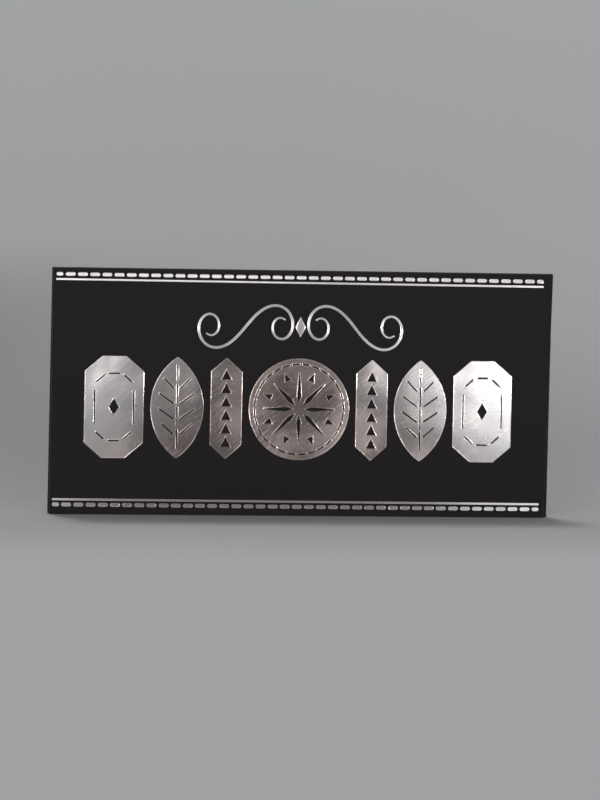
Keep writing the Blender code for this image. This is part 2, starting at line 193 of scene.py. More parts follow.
def rounded(corners: Sequence[Point], radius: float, steps: int = 5) -> Loop:
    """Round every corner of a polygon to one radius.

    Args:
        corners: The polygon's corners in order.
        radius: The radius of every corner.
        steps: How many steps each corner is drawn in.

    Returns:
        The rounded outline.
    """
    outline: Loop = []
    for index, corner in enumerate(corners):
        here = Vector(corner)
        back = (Vector(corners[index - 1]) - here).normalized()
        ahead = (Vector(corners[(index + 1) % len(corners)]) - here).normalized()
        half_angle = back.angle(ahead) / 2
        centre = here + (back + ahead).normalized() * (radius / math.sin(half_angle))
        start = here + back * (radius / math.tan(half_angle)) - centre
        end = here + ahead * (radius / math.tan(half_angle)) - centre
        first = math.atan2(start.y, start.x)
        sweep = math.atan2(start.x * end.y - start.y * end.x, start.dot(end))
        outline += arc(tuple(centre), radius, first, first + sweep, steps)
    return outline


def slot_loop(start: Point, end: Point, width: float) -> Loop:
    """The outline of a narrow opening between two points, with softened corners.

    Args:
        start: The middle of one end.
        end: The middle of the other end.
        width: How wide the opening is.

    Returns:
        The opening's outline.
    """
    soft_share, soft_steps = 0.3, 2
    first, last = Vector(start), Vector(end)
    along = (last - first).normalized()
    side = Vector((-along.y, along.x)) * (width / 2)
    corners = [tuple(p) for p in (first + side, last + side, last - side, first - side)]
    return rounded(corners, width * soft_share, soft_steps)


def between(start: Point, end: Point, share: float) -> Point:
    """The point that lies this share of the way from start to end."""
    return tuple(Vector(start).lerp(Vector(end), share))


def opposite(loop: Loop) -> Loop:
    """The loop turned half round about the origin."""
    return [(-x, -z) for x, z in loop]


def wound(loop: Loop, against: bool = False) -> Loop:
    """The loop run anticlockwise, or clockwise where against is set."""
    ahead = loop[1:] + loop[:1]
    anticlockwise = sum(a[0] * b[1] - b[0] * a[1] for a, b in zip(loop, ahead)) > 0
    return loop[::-1] if anticlockwise == against else loop


def direction(azimuth: float, elevation: float) -> Vector:
    """The way out from the envelope, by two angles in degrees; azimuth 0 is straight in front."""
    a, e = math.radians(azimuth), math.radians(elevation)
    return Vector((math.sin(a) * math.cos(e), -math.cos(a) * math.cos(e), math.sin(e)))


def new_object(name: str, data: bpy.types.ID) -> Object:
    """Put a finished mesh, light or camera in the scene under this name."""
    made = bpy.data.objects.new(name, data)
    bpy.context.scene.collection.objects.link(made)
    return made


def attach(piece: Object, body: Body, node: str) -> Object:
    """Ride a piece on its body and let it stand for its node."""
    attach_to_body(piece, body.value)
    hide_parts(node)
    return piece


def rgba(colour: Triple, share: float = 1.0) -> tuple[float, ...]:
    """A colour times a share, with full alpha."""
    return (*(part * share for part in colour), 1.0)


# Node work shared by the finishes


@dataclass(frozen=True)
class Grain:
    """How fine a noise is, how many layers it has and how strong the finer ones are."""

    scale: float
    detail: float = 2.0
    roughness: float = 0.5


@dataclass
class NodeTree:
    """Short ways to place and join nodes in one tree."""

    tree: bpy.types.NodeTree
    placed: int = 0
    spacing: tuple[int, int] = (180, 160)
    rows: int = 5

    def add(self, kind: str, inputs: dict | None = None, **settings: object) -> bpy.types.Node:
        """Place a node.

        Args:
            kind: The node's type name.
            inputs: Values or sockets for its inputs, by input name or index.
            **settings: The node's own properties.

        Returns:
            The new node.
        """
        node = self.tree.nodes.new(kind)
        across, down = self.spacing
        node.location = (self.placed * across, -(self.placed % self.rows) * down)
        self.placed += 1
        for key, value in settings.items():
            setattr(node, key, value)
        for key, value in (inputs or {}).items():
            self.feed(node.inputs[key], value)
        return node

    def feed(self, socket: Socket, value: object) -> None:
        """Join an output to this input, or set its value."""
        if isinstance(value, Socket):
            self.tree.links.new(value, socket)
        else:
            socket.default_value = value

    def math(self, operation: str, *values: object) -> Socket:
        """The output of a Math node over these values or sockets."""
        node = self.add("ShaderNodeMath", operation=operation)
        for socket, value in zip(node.inputs, values):
            self.feed(socket, value)
        return node.outputs[0]

    def weighted(self, *parts: tuple[Socket, object]) -> Socket:
        """The sum of sockets, each times its own weight."""
        total = self.math("MULTIPLY", *parts[0])
        for value, weight in parts[1:]:
            total = self.math("MULTIPLY_ADD", value, weight, total)
        return total

    def ramp(self, value: Socket, *limits: object) -> Socket:
        """A smooth step of a value.

        Args:
            value: The socket that is read.
            *limits: Where the step begins and ends, then what it gives there if that isn't 0 and 1.

        Returns:
            The stepped value.
        """
        node = self.add("ShaderNodeMapRange", interpolation_type="SMOOTHSTEP")
        for index, each in enumerate((value, *limits)):
            self.feed(node.inputs[index], each)
        return node.outputs[0]

    def mix(self, share: Socket, first: object, second: object) -> Socket:
        """The colour that lies this share of the way from first to second."""
        inputs = {"Factor": share, "A": first, "B": second}
        node = self.add("ShaderNodeMix", inputs, data_type="RGBA", clamp_factor=True)
        return node.outputs["Result"]

    def noise(self, place: Socket, grain: Grain) -> Socket:
        """The value of a Noise texture of this grain at a place."""
        inputs = {"Scale": grain.scale, "Detail": grain.detail, "Roughness": grain.roughness}
        return self.add("ShaderNodeTexNoise", {"Vector": place, **inputs}).outputs[0]

    def coords(self) -> Socket:
        """The object's own coordinates."""
        return self.add("ShaderNodeTexCoord").outputs["Object"]

    def split(self) -> list[Socket]:
        """The object's own X, Y and Z."""
        return list(self.add("ShaderNodeSeparateXYZ", {"Vector": self.coords()}).outputs)

    def place(self, stretch: Triple = (1, 1, 1), turn: Triple = (0, 0, 0)) -> Socket:
        """The object's own coordinates, for a pattern that is stretched and then turned."""
        inputs = {"Vector": self.coords(), "Rotation": turn, "Scale": stretch}
        return self.add("ShaderNodeMapping", inputs, vector_type="TEXTURE").outputs[0]

    def group(self, tree: bpy.types.NodeTree, inputs: dict[str, object]) -> dict[str, Socket]:
        """Place a shared group and give its outputs by name."""
        node = self.add("ShaderNodeGroup", inputs, node_tree=tree)
        return {output.name: output for output in node.outputs}

    def bump(self, height: Socket, strength: float = 1.0) -> Socket:
        """A normal that follows a height in metres."""
        inputs = {"Height": height, "Distance": 1.0, "Strength": strength}
        return self.add("ShaderNodeBump", inputs).outputs[0]

    def spread(self, tone: Socket, value: float, reach: Band) -> Socket:
        """A value that changes with a tone, this far to each side."""
        return self.ramp(tone, *TONE_BAND, *(value + step for step in reach))

    def dress(self, shader: bpy.types.Node, colour: Socket, rough: Socket, normal: Socket) -> None:
        """Feed a Principled shader its colour, its roughness and its normal."""
        for label, value in {"Base Color": colour, "Roughness": rough, "Normal": normal}.items():
            self.feed(shader.inputs[label], value)


def new_finish(name: str) -> tuple[Material, NodeTree, bpy.types.Node]:
    """Begin a material: the material itself, its tree and its Principled shader."""
    made = bpy.data.materials.new(name)
    made.use_nodes = True
    return made, NodeTree(made.node_tree), made.node_tree.nodes["Principled BSDF"]


def shared_group(name: str, inputs: dict[str, float], fill: Callable) -> bpy.types.NodeTree:
    """Build a shader node group of numbers once.

    Args:
        name: The group's name.
        inputs: Its inputs and their default values.
        fill: A function that takes the tree helper and the input sockets, and gives its outputs by name.

    Returns:
        The group's tree.
    """
    known = bpy.data.node_groups.get(name)
    if known is not None:
        return known
    tree = bpy.data.node_groups.new(name, "ShaderNodeTree")
    for label, value in inputs.items():
        tree.interface.new_socket(name=label, in_out="INPUT", socket_type=NUMBER).default_value = value
    source = tree.nodes.new("NodeGroupInput")
    made = fill(NodeTree(tree), {socket.name: socket for socket in source.outputs})
    for label in made:
        tree.interface.new_socket(name=label, in_out="OUTPUT", socket_type=NUMBER)
    sink = tree.nodes.new("NodeGroupOutput")
    for label, output in made.items():
        tree.links.new(output, sink.inputs[label])
    return tree


@dataclass(frozen=True)
class CardFibre:
    """The felted surface of uncoated card: fine fibres over a slow unevenness."""

    fine: Grain = Grain(5200.0, 3.0, 0.6)
    long: Grain = Grain(1500.0, 2.0, 0.55)
    felt: Grain = Grain(900.0)
    cloud: Grain = Grain(42.0)
    dust: Grain = Grain(1300.0, 1.0, 0.4)
    long_stretch: Triple = (3.2, 1.0, 1.0)
    long_turn: Triple = (0.2, 0.5, 0.1)
    dust_band: Band = (0.74, 0.82)
    felt_depth: float = 0.45
    fine_depth: float = 0.35
    long_depth: float = 0.4
    cloud_tone: float = 0.55
    fine_tone: float = 0.45

    def fill(self, nodes: NodeTree, given: dict[str, Socket]) -> dict[str, Socket]:
        """The group's outputs: a height, a slow tone and a mask of dust."""
        place = nodes.place()
        fine = nodes.noise(place, self.fine)
        long = nodes.noise(nodes.place(self.long_stretch, self.long_turn), self.long)
        felt = (nodes.noise(place, self.felt), self.felt_depth)
        height = nodes.weighted(felt, (fine, self.fine_depth), (long, self.long_depth))
        cloud = (nodes.noise(place, self.cloud), self.cloud_tone)
        speck = nodes.ramp(nodes.noise(place, self.dust), *self.dust_band)
        return {
            "Height": nodes.math("MULTIPLY", height, given["Depth"]),
            "Tone": nodes.weighted(cloud, (fine, self.fine_tone)),
            "Speck": nodes.math("MULTIPLY", speck, given["Dust"]),
        }

    def tree(self) -> bpy.types.NodeTree:
        """The shared group."""
        return shared_group("card_fibre", {"Depth": 0.00003, "Dust": 0.1}, self.fill)


@dataclass(frozen=True)
class EdgeWear:
    """Rubbed borders: a mask that rises within a few tenths of a millimetre of the sheet's outer edges."""

    grain: Grain = Grain(260.0, 3.0, 0.6)
    half_width: float = 0.0825
    top: float = 0.08

    def fill(self, nodes: NodeTree, given: dict[str, Socket]) -> dict[str, Socket]:
        """The group's output: the mask."""
        x, _, z = nodes.split()
        ends = nodes.math("SUBTRACT", given["Half width"], nodes.math("ABSOLUTE", x))
        nearest = nodes.math("MINIMUM", ends, nodes.math("SUBTRACT", given["Top"], z))
        rough_reach = nodes.math("MULTIPLY", nodes.noise(nodes.place(), self.grain), given["Reach"])
        mask = nodes.ramp(nearest, 0.0, rough_reach, 1.0, 0.0)
        return {"Mask": nodes.math("MULTIPLY", mask, given["Strength"])}

    def tree(self) -> bpy.types.NodeTree:
        """The shared group."""
        numbers = {"Half width": self.half_width, "Top": self.top, "Reach": 0.0006, "Strength": 1.0}
        return shared_group("edge_wear", numbers, self.fill)


@dataclass(frozen=True)
class PressDents:
    """Foil pressed on card: fine dents, wide swells, faint slanting rubs, and patches of a duller tone."""

    dent: Grain = Grain(700.0, 3.0, 0.55)
    swell: Grain = Grain(62.0, 1.0, 0.4)
    slow: Grain = Grain(42.0, 1.0)
    rub: Grain = Grain(1300.0, 2.0, 0.6)
    patch: Grain = Grain(62.0, 1.0)
    rub_stretch: Triple = (1.0, 1.0, 9.0)
    rub_turn: Triple = (0.0, 0.91, 0.0)
    rub_band: Band = (0.45, 0.65)
    patch_band: Band = (0.42, 0.62)
    middle: float = 0.5
    dent_tone: float = 0.2
    rub_tone: float = 0.12
    tone_share: float = 0.83

    def fill(self, nodes: NodeTree, given: dict[str, Socket]) -> dict[str, Socket]:
        """The group's outputs: a height and a slow tone."""
        place = nodes.place()
        dents = nodes.noise(place, self.dent)
        swells = nodes.math("SUBTRACT", nodes.noise(place, self.swell), self.middle)
        slanting = nodes.place(self.rub_stretch, self.rub_turn)
        rubs = nodes.ramp(nodes.noise(slanting, self.rub), *self.rub_band)
        patches = nodes.ramp(nodes.noise(place, self.patch), *self.patch_band)
        lines = nodes.math("MULTIPLY", rubs, patches)
        depths = zip((dents, swells, lines), (given[kind + " depth"] for kind in ("Dent", "Swell", "Rub")))
        slow = (nodes.noise(place, self.slow), 1.0)
        tone = nodes.weighted(slow, (dents, self.dent_tone), (lines, self.rub_tone))
        return {"Height": nodes.weighted(*depths), "Tone": nodes.math("MULTIPLY", tone, self.tone_share)}

    def tree(self) -> bpy.types.NodeTree:
        """The shared group."""
        numbers = {"Dent depth": 0.00002, "Swell depth": 0.0002, "Rub depth": 0.000004}
        return shared_group("pressed_dents", numbers, self.fill)


# Finishes


@dataclass(frozen=True)
class BlackCard:
    """Matt card dyed black right through."""

    name: str = "black_card"
    deep: Triple = (0.0072, 0.0060, 0.0070)
    pale: Triple = (0.0110, 0.0094, 0.0106)
    worn: Triple = (0.045, 0.042, 0.043)
    roughness: float = 0.74
    rough_reach: Band = (-0.06, 0.08)
    specular: float = 0.16
    fibre_depth: float = 0.00003
    bump_strength: float = 0.8
    wear_reach: float = 0.0007
    wear_strength: float = 0.5

    def build(self) -> Material:
        """Make the material, with fibres, rubbed borders and a slow change of tone."""
        made, nodes, shader = new_finish(self.name)
        fibre = nodes.group(CardFibre().tree(), {"Depth": self.fibre_depth})
        reach = {"Reach": self.wear_reach, "Strength": self.wear_strength}
        wear = nodes.group(EdgeWear().tree(), reach)
        tone = fibre["Tone"]
        colour = nodes.mix(nodes.ramp(tone, *TONE_BAND), rgba(self.deep), rgba(self.pale))
        for mask in (wear["Mask"], fibre["Speck"]):
            colour = nodes.mix(mask, colour, rgba(self.worn))
        rough = nodes.spread(tone, self.roughness, self.rough_reach)
        nodes.dress(shader, colour, rough, nodes.bump(fibre["Height"], self.bump_strength))
        shader.inputs["Specular IOR Level"].default_value = self.specular
        return made


@dataclass(frozen=True)
class CutEdge(BlackCard):
    """The cut edge of the black card: the same dye with torn fibres, a little paler."""

    name: str = "card_cut_edge"
    deep: Triple = (0.032, 0.029, 0.030)
    pale: Triple = (0.075, 0.071, 0.072)
    worn: Triple = (0.085, 0.08, 0.08)
    roughness: float = 0.85
    fibre_depth: float = 0.00006


@dataclass(frozen=True)
class SilverFoil:
    """Satin silver stamping foil, slightly bowed with the sheet that it is stamped on."""

    name: str = "silver_foil"
    bright: Triple = (0.82, 0.795, 0.79)
    # Painted reflection: the foil is clear at the ends and the top, and painted a dim, warm colour towards
    # the middle and the foot. The dull shares darken random patches of both.
    dim_reflection: Triple = (0.69, 0.585, 0.55)
    dull_dim_reflection: float = 0.40
    dull_bright: float = 0.90
    dull_band: Band = (0.40, 0.60)
    # Painted shade: where the darker patch lies, how far it reaches and how deep it is.
    painted_shade_middle: Triple = (-0.036, -0.002, 0.024)
    painted_shade_reach: Band = (0.006, 0.026)
    painted_shade_depth: float = 0.11
    dim_reflection_middle: float = -0.008
    dim_reflection_reach: Band = (0.008, 0.068)
    dim_reflection_rise: float = 1.3
    roughness: float = 0.25
    rough_reach: Band = (0.03, -0.03)
    dent_depth: float = 0.000013
    swell_depth: float = 0.0012
    calm_swell: float = 0.0004
    calm_reach: Band = (0.030, 0.060)
    rub_depth: float = 0.000006
    end_bow: float = 1.25
    rise_bow: float = 1.8
    middle_height: float = 0.038
    fold_start: float = 0.073
    fold_bow: float = 33.0

    def bow(self, nodes: NodeTree) -> Socket:
        """The sheet's slow shape: bowed from end to end and foot to top, and rounded off at the fold."""
        x, _, z = nodes.split()
        rise = nodes.math("SUBTRACT", z, self.middle_height)
        above = nodes.math("MAXIMUM", nodes.math("SUBTRACT", z, self.fold_start), 0.0)
        ways = ((x, self.end_bow), (rise, self.rise_bow), (above, self.fold_bow))
        squares = [(nodes.math("MULTIPLY", way, way), bow) for way, bow in ways]
        ends, up, fold = (nodes.math("MULTIPLY", square, -bow) for square, bow in squares)
        return nodes.math("ADD", nodes.math("ADD", ends, up), fold)

    def colour(self, nodes: NodeTree, tone: Socket) -> Socket:
        """The foil's colour, with a painted reflection: clear at the ends and towards the top, painted
        warmer and darker towards the middle and the foot, with a painted shade patch left of the middle.

        Args:
            nodes: The material's tree.
            tone: The slow change of tone.

        Returns:
            The colour.
        """
        x, _, z = nodes.split()
        # Painted reflection: the share is 0 for the dim, warm colour near the middle and the foot, and 1
        # for the clear colour at the ends and the top.
        beside = nodes.math("ABSOLUTE", nodes.math("SUBTRACT", x, self.dim_reflection_middle))
        above = nodes.math("SUBTRACT", z, self.middle_height)
        share = nodes.ramp(nodes.math("MULTIPLY_ADD", above, self.dim_reflection_rise, beside), *self.dim_reflection_reach)
        # Painted shade: a darker patch left of the middle, which pushes the foil towards its dull colour
        # there.
        ends = {0: nodes.coords(), 1: self.painted_shade_middle}
        distance = nodes.add("ShaderNodeVectorMath", ends, operation="DISTANCE").outputs["Value"]
        painted_shade = nodes.ramp(distance, *self.painted_shade_reach, self.painted_shade_depth, 0.0)
        clear = nodes.mix(share, rgba(self.dim_reflection), rgba(self.bright))
        dull = nodes.mix(share, rgba(self.dim_reflection, self.dull_dim_reflection), rgba(self.bright, self.dull_bright))
        return nodes.mix(nodes.ramp(nodes.math("SUBTRACT", tone, painted_shade), *self.dull_band), dull, clear)

    def build(self) -> Material:
        """Make the material, whose height follows the sheet's slow bow and the dents of the press."""
        made, nodes, shader = new_finish(self.name)
        swell = nodes.ramp(nodes.split()[0], *self.calm_reach, self.swell_depth, self.calm_swell)
        depths = {"Dent depth": self.dent_depth, "Swell depth": swell, "Rub depth": self.rub_depth}
        press = nodes.group(PressDents().tree(), depths)
        tone = press["Tone"]
        height = nodes.math("ADD", self.bow(nodes), press["Height"])
        rough = nodes.spread(tone, self.roughness, self.rough_reach)
        nodes.dress(shader, self.colour(nodes, tone), rough, nodes.bump(height))
        shader.inputs["Metallic"].default_value = 1.0
        return made


@dataclass(frozen=True)
class BorderFoil(SilverFoil):
    """The foil of the narrow dashes and rules, which lies smoother than that of the wide motifs."""

    name: str = "silver_foil_border"
    # Painted reflection: paler and reaching less far than on the motifs, with no painted shade patch.
    dim_reflection: Triple = (0.60, 0.55, 0.535)
    dim_reflection_middle: float = -0.015
    dim_reflection_reach: Band = (0.0, 0.03)
    dull_dim_reflection: float = 0.9
    dull_bright: float = 0.96
    painted_shade_depth: float = 0.0
    roughness: float = 0.30
    dent_depth: float = 0.000003
    swell_depth: float = 0.0004
    rub_depth: float = 0.0
    rise_bow: float = 1.1
    fold_bow: float = 26.0


@dataclass(frozen=True)
class ClearGlue:
    """A dried strip of clear glue, with bubbles and drawn ends."""

    name: str = "clear_glue"
    clear: Triple = (0.40, 0.38, 0.32)
    bubble: Triple = (0.62, 0.6, 0.54)
    bubble_grain: Grain = Grain(1400.0, 2.0, 0.6)
    bubble_band: Band = (0.55, 0.7)
    streak_grain: Grain = Grain(700.0)
    streak_stretch: Triple = (1.0, 1.0, 10.0)
    roughness: float = 0.42
    rough_reach: Band = (-0.1, 0.1)
    depth: float = 0.00003

    def build(self) -> Material:
        """Make the glue's material."""
        made, nodes, shader = new_finish(self.name)
        bubbles = nodes.ramp(nodes.noise(nodes.place(), self.bubble_grain), *self.bubble_band)
        streaks = nodes.noise(nodes.place(self.streak_stretch), self.streak_grain)
        colour = nodes.mix(bubbles, rgba(self.clear), rgba(self.bubble))
        height = nodes.math("MULTIPLY", nodes.math("ADD", bubbles, streaks), self.depth)
        rough = nodes.spread(streaks, self.roughness, self.rough_reach)
        nodes.dress(shader, colour, rough, nodes.bump(height))
        return made


# Folded card


@dataclass(frozen=True)
class Station:
    """One cross-section of a sheet.

    The place and the face's direction are points of the plane that the sheet's line is drawn in. The sheet
    is swept across that plane from low to high.
    """

    place: Point
    facing: Point
    low: float
    high: float


@dataclass
class CardSheet:
    """A sheet of card along a line, as thick as the card, with softened edges."""

    name: str
    axis: Axis
    card: float
    free_end: bool = False
    stations: list[Station] = field(default_factory=list)
    edge: float = 0.00007
    tip_share: float = 0.999
    smooth_below: float = math.radians(30)

    def point(self, station: Station, depth: float, across: float) -> Vector:
        """The frame's place of a point of a cross-section.

        Args:
            station: The cross-section.
            depth: How far the point lies from the middle of the card, towards its face.
            across: Where it lies in the direction of the sweep.

        Returns:
            The point in the frame.
        """
        first = station.place[0] + station.facing[0] * depth
        second = station.place[1] + station.facing[1] * depth
        if self.axis is Axis.ALONG:
            return Vector((across, first, second))
        return Vector((first, second, across))

    def section(self, station: Station, shrink: float) -> list[Vector]:
        """The eight corners of a cross-section with softened edges.

        Args:
            station: The cross-section.
            shrink: How much smaller it is on every side, for the last section of a free end.

        Returns:
            The corners in order round the card.
        """
        deep = self.card / 2 - shrink
        low, high = station.low + shrink, station.high - shrink
        edge = self.edge - shrink
        sides = [(-deep, low + edge), (-deep, high - edge), (-deep + edge, high), (deep - edge, high)]
        sides += [(deep, high - edge), (deep, low + edge), (deep - edge, low), (-deep + edge, low)]
        return [self.point(station, depth, across) for depth, across in sides]

    def drawn(self) -> list[tuple[Station, float]]:
        """Every cross-section with its shrinking, a free end drawn in."""
        rows = [(station, 0.0) for station in self.stations]
        if self.free_end:
            before, tip = self.stations[-2:]
            end = Vector(tip.place)
            inward = (Vector(before.place) - end).normalized() * self.edge
            held = Station(tuple(end + inward), tip.facing, tip.low, tip.high)
            rows[-1:] = [(held, 0.0), (tip, self.edge * self.tip_share)]
        return rows

    def build(self, finishes: Sequence[Material]) -> Object:
        """Make the sheet's mesh and dress it.

        Args:
            finishes: The material of the faces, then that of the cut edges.

        Returns:
            The sheet as an object at the frame's origin.
        """
        shape = bmesh.new()
        rings = [[shape.verts.new(p) for p in self.section(*row)] for row in self.drawn()]
        count = len(rings[0])
        for ring, after in zip(rings, rings[1:]):
            for index in range(count):
                following = (index + 1) % count
                face = shape.faces.new((ring[index], ring[following], after[following], after[index]))
                face.material_index = FACE_INDEX if index % (count // 2) == 0 else CUT_INDEX
                face.smooth = True
        for ring in (rings[0], rings[-1]):
            shape.faces.new(ring).material_index = CUT_INDEX
        if self.free_end:
            for face in {face for vert in rings[-1] for face in vert.link_faces}:
                face.material_index = CUT_INDEX
        bmesh.ops.recalc_face_normals(shape, faces=shape.faces)
        for edge in shape.edges:
            edge.smooth = len(edge.link_faces) == 2 and edge.calc_face_angle(0.0) < self.smooth_below
        mesh = bpy.data.meshes.new(self.name)
        shape.to_mesh(mesh)
        shape.free()
        for finish in finishes:
            mesh.materials.append(finish)
        return new_object(self.name, mesh)


def long_sheet(envelope: Envelope, name: str, line: Line) -> CardSheet:
    """A sheet as long as the envelope, along a line of places and facings in Y and Z."""
    half = envelope.half_width
    sheet = CardSheet(name, Axis.ALONG, envelope.card)
    sheet.stations = [Station(place, facing, -half, half) for place, facing in line]
    return sheet


@dataclass(frozen=True)
class Bend:
    """A crease: two straight runs of the card's line joined by an arc about a corner."""

    corner: Point
    arriving: float
    leaving: float
    radius: float
    lead: float = 0.0001
    steps: int = 10

    @property
    def half_turn(self) -> float:
        """Half the angle that the card turns through."""
        return (self.leaving - self.arriving) / 2

    def line(self) -> list[tuple[Point, Point]]:
        """The places along the bend and the way that its outer face looks there.

        Returns:
            Pairs of a place and a direction, from the arriving run to the leaving one.
        """
        turn = self.leaving - self.arriving
        side = 1 if turn > 0 else -1
        along = Vector((math.cos(self.arriving), math.sin(self.arriving)))
        start = Vector(self.corner) - along * (self.radius * math.tan(abs(self.half_turn)))
        centre = start + Vector((-along.y, along.x)) * side * self.radius
        pairs = []
        for step in range(self.steps + 1):
            heading = self.arriving + turn * step / self.steps
            outward = Vector((math.sin(heading), -math.cos(heading))) * side
            pairs.append((tuple(centre + outward * self.radius), tuple(outward)))
        first, last = pairs[0], pairs[-1]
        away = Vector((math.cos(self.leaving), math.sin(self.leaving)))
        before = (tuple(Vector(first[0]) - along * self.lead), first[1])
        after = (tuple(Vector(last[0]) + away * self.lead), last[1])
        return [before, *pairs, after]

    def ends(self) -> tuple[Point, Point]:
        """Where the straight runs take over, before and after the bend."""
        line = self.line()
        return line[0][0], line[-1][0]


@dataclass
class Creases:
    """The two scored folds over the top, each a short band between two bodies."""

    envelope: Envelope
    finishes: Sequence[Material]
    blend_share: float = 0.98

    @property
    def rear(self) -> Bend:
        """The crease between the back and the spine, in Y and Z."""
        env = self.envelope
        over = math.pi - env.crease_turn
        return Bend((env.rear_axis.y, env.rear_axis.z), math.pi / 2, over, env.bend_radius)

    @property
    def front(self) -> Bend:
        """The crease between the spine and the cover, in Y and Z."""
        env = self.envelope
        down = math.radians(270) - 2 * env.crease_turn
        over = math.pi - env.crease_turn
        return Bend((env.front_axis.y, env.front_axis.z), over, down, env.bend_radius)

    def build(self) -> list[Object]:
        """Make both bands, the rear one first."""
        made = []
        env = self.envelope
        links = (("rear", self.rear, Body.BACK, Body.SPINE), ("front", self.front, Body.SPINE, Body.COVER))
        for word, bend, near, far in links:
            piece = long_sheet(env, "crease_" + word, bend.line()).build(self.finishes)
            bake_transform(piece)
            made.append(piece)
        return made


@dataclass
class Panels:
    """The flat panels that the creases join: back, spine and cover."""

    envelope: Envelope
    creases: Creases
    finishes: Sequence[Material]
    straight_share: float = 0.3

    def build(self) -> list[Object]:
        """Make the three panels, from back to cover."""
        env = self.envelope
        rear, front = self.creases.rear, self.creases.front
        up = (1.0, 0.0)
        over = (math.sin(env.crease_turn), math.cos(env.crease_turn))
        foot = (env.rear_axis.y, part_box("back_panel")[0].z)
        back = long_sheet(env, "back_sheet", [(foot, up), (rear.ends()[0], up)])
        spine = long_sheet(env, "spine_sheet", [(rear.ends()[1], over), (front.ends()[0], over)])
        plans = (
            (back, Body.BACK, "back_panel"),
            (spine, Body.SPINE, "top_spine"),
            (self.cover(front), Body.COVER, "cover_panel"),
        )
        return [attach(sheet.build(self.finishes), body, node) for sheet, body, node in plans]

    def cover(self, front: Bend) -> CardSheet:
        """The cover's sheet, cut narrower towards its foot on the right.

        Args:
            front: The crease that it hangs from.

        Returns:
            The sheet, still to be built.
        """
        env = self.envelope
        lean = 2 * env.crease_turn
        facing = (-math.cos(lean), math.sin(lean))
        down = Vector((-math.sin(lean), -math.cos(lean)))
        top = Vector(front.ends()[1])
        corner = Vector(front.corner)
        foot = corner + down * env.cover_length
        straight = corner + down * (self.straight_share * env.card + (top - corner).length)
        line = [(tuple(place), facing) for place in (top, straight, foot)]
        sheet = long_sheet(env, "cover_sheet", line)
        sheet.stations[-1] = Station(tuple(foot), facing, -env.half_width, env.cover_foot_right)
        sheet.free_end = True
        return sheet


